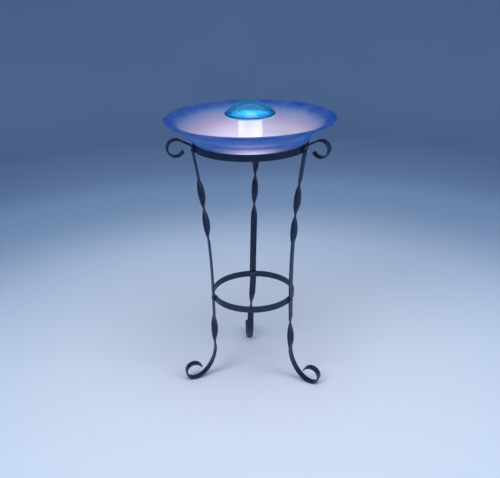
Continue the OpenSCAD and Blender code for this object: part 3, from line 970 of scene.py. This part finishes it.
# Dome shell: a round cap, (C sin a, middle + C cos a), from the crown to a short brim, then the
# same less the wall back up. Dents go in by depth times (1 - distance to the nearest spot squared),
# so each is a shallow dish, with crests in between
def makeDome(s):
    outer, low, high = domeBox[1][0], domeBox[0][2], domeBox[1][2]
    rise = high - low - s["brim"]
    capR = (outer**2 + rise**2) / (2 * rise)
    middle = high - capR
    inR = capR - s["wall"]
    a = np.linspace(0, math.asin(outer / capR), s["rows"])
    b = np.linspace(math.acos((low - middle) / inR), 0, s["innerRows"])
    e = s["brimEase"]
    outside = np.stack([capR * np.sin(a), middle + capR * np.cos(a)], -1)
    skirt = filledOutline([(outer, low + s["brim"]), (outer, low + e)], 0.6, False)[1:-1]
    ease = arcRun((outer - e, low + e), e, 0, -90, 0.25)
    inner = inR * math.sin(b[0])
    foot = filledOutline([(outer - 1.5 * e, low), (inner + e, low)], 1.2, False)
    inside = np.stack([inR * np.sin(b), middle + inR * np.cos(b)], -1)
    outline = np.concatenate([outside, skirt, ease, foot, inside])
    outline[0, 0] = outline[-1, 0] = 0
    outsideShare = np.zeros(len(outline))
    outsideShare[: len(outside) + len(skirt)] = 1
    outsideShare *= share(outline[:, 1], low + e, low + e + s["smoothOver"])

    def dents(grid, _):
        big = 1 - np.clip(nearestSpot(grid / mm, s["hammer"], 41), 0, 1) ** 2
        small = 1 - np.clip(nearestSpot(grid / mm, s["fine"], 47), 0, 1) ** 2
        return -mm * outsideShare[:, None] * (s["depth"] * big + s["fineDepth"] * small)

    thick = outline[:, 0] / outer
    return turned("hammeredDome", outline * mm, s["columns"], False, dents, {"thick": thick})


def makeDomeGlass(s):
    m = newMaterial("hammeredBlueGlass")
    # The glass is deeper in colour towards the brim, with cloudy streaks in it, and its lighter
    # turquoise partway out is partly painted lamplight
    streaks = cloud(m, s["streaks"], 4, 0.6, (1, 1, 2.2))
    deeper = span(m, streaks, -s["streakShift"], s["streakShift"])
    depth = sums(m, "ADD", readValue(m, "thick"), deeper)
    blues = [
        (0.05, s["crown"]),
        (0.45, s["turquoise"]),
        (0.75, s["turquoise"]),
        (1.0, s["deepBlue"]),
    ]
    colour = ramp(m, depth, blues)
    fill(
        m,
        shaderOf(m),
        {
            "Base Color": colour,
            "Roughness": s["roughness"],
            "IOR": s["ior"],
            "Transmission Weight": s["clear"],
            # Painted glow: a faint emission in the glass's own colour
            "Emission Color": colour,
            "Emission Strength": s["glow"],
            "Normal": bump(m, cloud(m, s["grain"], 2), 0.08, 0.0001),
        },
    )
    return m


# Lamp plate with its spigot: a disc from the axis out to its edge, stepping down to a short tube,
# turned about Z
def makePlate(s):
    outer, low, high = plateBox[1][0], plateBox[0][2], plateBox[1][2]
    under = high - s["plate"]
    spigotR = columnR - columnSet["wall"] - s["seatGap"]
    bore = spigotR - s["spigotWall"]
    path = [(0, under), (bore, under), (bore, low), (spigotR, low), (spigotR, under)]
    path += [(outer, under), (outer, high), (0, high)]
    n = 4  # points to each soft corner
    soft = softCorners(path, s["ease"], n)[n:-n]  # the two ends on the axis stay sharp
    outline = filledOutline(np.concatenate([path[:1], soft, path[-1:]]), s["step"], False)
    return turned("lampPlate", outline * mm, s["columns"], False)


# The lamp lights the plate from below, strongest over the column
def makePlateMaterial(s):
    m = newMaterial("litPlate")
    milk = cloud(m, s["clouds"], 3)
    away = addNode(m, "VectorMath", {0: placeOn(m, (1, 1, 0))}, operation="LENGTH")
    reach = sums(m, "DIVIDE", away.outputs["Value"], domeBox[1][0] * mm)
    glow = ramp(m, reach, s["light"])
    colour = ramp(m, milk, list(zip((0.3, 0.7), s["colours"])))
    fill(
        m,
        shaderOf(m),
        {
            "Base Color": colour,
            "Roughness": span(m, milk, *s["rough"]),
            "Subsurface Weight": 0.2,
            "Subsurface Scale": 0.004,
            "Emission Color": glow,
            "Emission Strength": span(m, milk, 1.1, 0.9, 0.3, 0.7),
            "Normal": bump(m, cloud(m, s["grain"], 2), 0.1, 0.0001),
        },
    )
    return m


def makeSealMaterial(s):
    m = newMaterial("clearSilicone")
    haze = cloud(m, s["clouds"], 3)
    fill(
        m,
        shaderOf(m),
        {
            "Base Color": ramp(m, haze, list(zip((0.3, 0.7), s["colours"]))),
            "Roughness": span(m, haze, *s["rough"]),
            "Subsurface Weight": 0.3,
            "Subsurface Scale": 0.002,
            "Normal": bump(m, cloud(m, s["grain"], 2), 0.15, 0.0001),
        },
    )
    return m


dome = makeDome(domeSet)
plate = makePlate(plateSet)
seal = makeTube(
    "brimSeal",
    sealBox[0][2],
    sealBox[1][2],
    domeBox[1][0] - domeSet["wall"] - sealSet["inset"],
    sealBox[1][0],
    sealSet["ease"],
    sealSet["step"],
    sealSet["columns"],
)
for piece, node, slotName, material in (
    (dome, "glass_dome", "hammered_blue_glass", makeDomeGlass(domeSet)),
    (plate, "dome_plate", "opal_column", makePlateMaterial(plateSet)),
    (seal, "dome_seal", "clear_silicone", makeSealMaterial(sealSet)),
):
    assign(piece, material)
    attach(piece, "dome")
    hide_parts(node)
print("dome made")

# Finishes for the carried-over hardware
# Each: two colours that the clouds run between, roughness range, metal, clouds a metre, bump depth
hardwareSet = {
    "blackenedSteel": {
        "pieces": ("leg_bolts", "leg_nuts"),
        "colours": ((0.016, 0.019, 0.026), (0.045, 0.050, 0.062)),
        "rough": (0.30, 0.48),
        "metal": 0.6,
        "clouds": 420,
        "depth": 0.00012,
    },
    "zincSteel": {
        "pieces": ("leg_washers", "stem_washer", "terminal_screw", "reflector_screws")
        + ("holder_screws", "holder_nuts", "capsule_pins"),
        "colours": ((0.42, 0.43, 0.46), (0.62, 0.62, 0.60)),
        "rough": (0.26, 0.42),
        "metal": 1.0,
        "clouds": 700,
        "depth": 0.00006,
    },
    "blackRubber": {
        "pieces": ("upper_gasket", "lower_gasket", "column_seal", "gland_seal"),
        "colours": ((0.014, 0.014, 0.015), (0.032, 0.032, 0.034)),
        "rough": (0.62, 0.80),
        "metal": 0.0,
        "clouds": 900,
        "depth": 0.00010,
    },
    "turnedBrass": {
        "pieces": ("stem_nut", "lamp_stem"),
        "colours": ((0.58, 0.38, 0.13), (0.74, 0.54, 0.24)),
        "rough": (0.22, 0.40),
        "metal": 1.0,
        "clouds": 500,
        "depth": 0.00005,
    },
    "whiteMoulding": {
        "pieces": ("lamp_base", "terminal_block"),
        "colours": ((0.74, 0.75, 0.76), (0.82, 0.82, 0.82)),
        "rough": (0.30, 0.42),
        "metal": 0.0,
        "clouds": 800,
        "depth": 0.00006,
    },
    "polishedAluminium": {
        "pieces": ("reflector",),
        "colours": ((0.82, 0.83, 0.85), (0.90, 0.90, 0.91)),
        "rough": (0.10, 0.20),
        "metal": 1.0,
        "clouds": 300,
        "depth": 0.00003,
    },
    "firedCeramic": {
        "pieces": ("lamp_holder",),
        "colours": ((0.78, 0.76, 0.70), (0.86, 0.85, 0.80)),
        "rough": (0.45, 0.62),
        "metal": 0.0,
        "clouds": 650,
        "depth": 0.00012,
    },
    "blackMoulding": {
        "pieces": ("gland_body", "gland_nut"),
        "colours": ((0.018, 0.018, 0.020), (0.036, 0.036, 0.040)),
        "rough": (0.40, 0.56),
        "metal": 0.0,
        "clouds": 1100,
        "depth": 0.00010,
    },
}


def makeHardware(name, s):
    m = newMaterial(name)
    patches = cloud(m, s["clouds"], 4, 0.6)
    fill(
        m,
        shaderOf(m),
        {
            "Base Color": ramp(m, patches, list(zip((0.32, 0.70), s["colours"]))),
            "Roughness": span(m, patches, *s["rough"], 0.3, 0.7),
            "Metallic": s["metal"],
            "Normal": bump(m, cloud(m, 4 * s["clouds"], 2), 0.4, s["depth"]),
        },
    )
    return m


capsuleSet = {
    "clear": ((0.92, 0.94, 0.96), (0.98, 0.97, 0.94)),
    "rough": (0.03, 0.09),
    "ior": 1.46,
    "transmission": 0.8,
    "light": (1.0, 0.90, 0.72, 1),
    "glow": 1.6,
    "clouds": 260,
    "grain": 700,
}


def makeLampGlass(s):
    m = newMaterial("clearLampGlass")
    haze = cloud(m, s["clouds"], 3)
    fill(
        m,
        shaderOf(m),
        {
            "Base Color": ramp(m, haze, list(zip((0.3, 0.7), s["clear"]))),
            "Roughness": span(m, haze, *s["rough"]),
            "IOR": s["ior"],
            "Transmission Weight": s["transmission"],
            "Emission Color": s["light"],
            "Emission Strength": s["glow"],
            "Normal": bump(m, cloud(m, s["grain"], 2), 0.1, 0.0001),
        },
    )
    return m


for name, finish in hardwareSet.items():
    material = makeHardware(name, finish)
    for node in finish["pieces"]:
        assign(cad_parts[node], material)
assign(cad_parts["capsule_glass"], makeLampGlass(capsuleSet))
print("hardware finished")

# Studio: floor that sweeps up into a backdrop on every side, pale at the middle and darkening to
# slate further out as painted shade, and soft light
studioSet = {
    "flat": 1.30,
    "sweep": 1.10,
    "wall": 2.9,
    "columns": 160,
    # Distance along the sheet from the middle, in metres, and its colour there, which darkens
    # outwards as painted shade
    "paintedShadeTones": [
        (0.0, (0.66, 0.71, 0.80)),
        (0.5, (0.63, 0.70, 0.80)),
        (0.9, (0.53, 0.645, 0.79)),
        (1.3, (0.305, 0.425, 0.605)),
        (1.54, (0.228, 0.343, 0.522)),
        (1.67, (0.156, 0.244, 0.406)),
        (1.8, (0.119, 0.196, 0.349)),
        (1.92, (0.094, 0.162, 0.296)),
        (2.1, (0.101, 0.172, 0.312)),
        (2.3, (0.105, 0.182, 0.328)),
        (4.2, (0.098, 0.174, 0.320)),
    ],
    "lights": [
        {"name": "keySoftbox", "at": (-1.1, -1.3, 1.9), "size": 1.3, "power": 24},
        {"name": "fillSoftbox", "at": (1.4, -0.9, 1.5), "size": 1.3, "power": 14},
        {"name": "topSoftbox", "at": (0.1, -0.6, 2.2), "size": 1.2, "power": 12},
    ],
    "haze": (0.6, 0.66, 0.8),
    "hazeShare": 0.05,
    "roughness": 0.8,
    "specular": 0.2,
    "skyColour": (0.80, 0.88, 1.0),
    "skyStrength": 0.78,
}


# Studio sheet: flat out to the sweep, a quarter circle up, then an upright wall, turned about Z
def makeBackdrop(s):
    sweep = arcRun((s["flat"], s["sweep"]), s["sweep"], -90, 0, 0.05)
    floor = [[0.001, 0], [s["flat"] / 2, 0]]
    path = np.concatenate([floor, sweep, [[s["flat"] + s["sweep"], s["wall"]]]])
    path = filledOutline(path, 0.08, False)
    path[:, 1] += cadLow.z
    a = np.arange(s["columns"]) * fullTurn / s["columns"]
    grid = np.stack(
        [path[:, :1] * np.cos(a), path[:, :1] * np.sin(a), path[:, 1:] + 0 * a], -1
    )
    along = np.concatenate([[0], np.cumsum(np.linalg.norm(np.diff(path, axis=0), axis=1))])
    values = np.broadcast_to(along[:, None], grid.shape[:2]).ravel()
    sheet = makeMesh(
        "studioSheet",
        np.concatenate([grid.reshape(-1, 3), [[0, 0, cadLow.z]]]),
        gridFaces(len(path), s["columns"], False, True),
        tipFaces(len(values), np.arange(s["columns"]), False),
        {"along": np.concatenate([values, [0]])},
        closed=False,
    )
    m = newMaterial("studioSheet")
    reach = s["paintedShadeTones"][-1][0]
    place = sums(m, "DIVIDE", readValue(m, "along"), reach)
    cloudy = cloud(m, 1.6, 3)
    tone = ramp(m, place, [(d / reach, c) for d, c in s["paintedShadeTones"]])
    fill(
        m,
        shaderOf(m),
        {
            "Base Color": mixed(m, span(m, cloudy, 0.0, s["hazeShare"]), tone, s["haze"]),
            "Roughness": s["roughness"],
            "Specular IOR Level": s["specular"],
        },
    )
    assign(sheet, m)


def makeLights(s):
    for light in s["lights"]:
        data = bpy.data.lights.new(light["name"], "AREA")
        data.shape = "DISK"
        data.size = light["size"]
        data.energy = light["power"]
        lamp = bpy.data.objects.new(light["name"], data)
        scene.collection.objects.link(lamp)
        lamp.location = light["at"]
        towards = (cadLow + cadHigh) / 2 - lamp.location
        lamp.rotation_euler = towards.to_track_quat("-Z", "Y").to_euler()
    world = bpy.data.worlds.new("studioAir")
    world.use_nodes = True
    background = next(n for n in world.node_tree.nodes if n.type == "BACKGROUND")
    background.inputs["Color"].default_value = (*s["skyColour"], 1)
    background.inputs["Strength"].default_value = s["skyStrength"]
    scene.world = world
    scene.view_settings.view_transform = "Standard"


makeBackdrop(studioSet)
makeLights(studioSet)
print("studio lit")
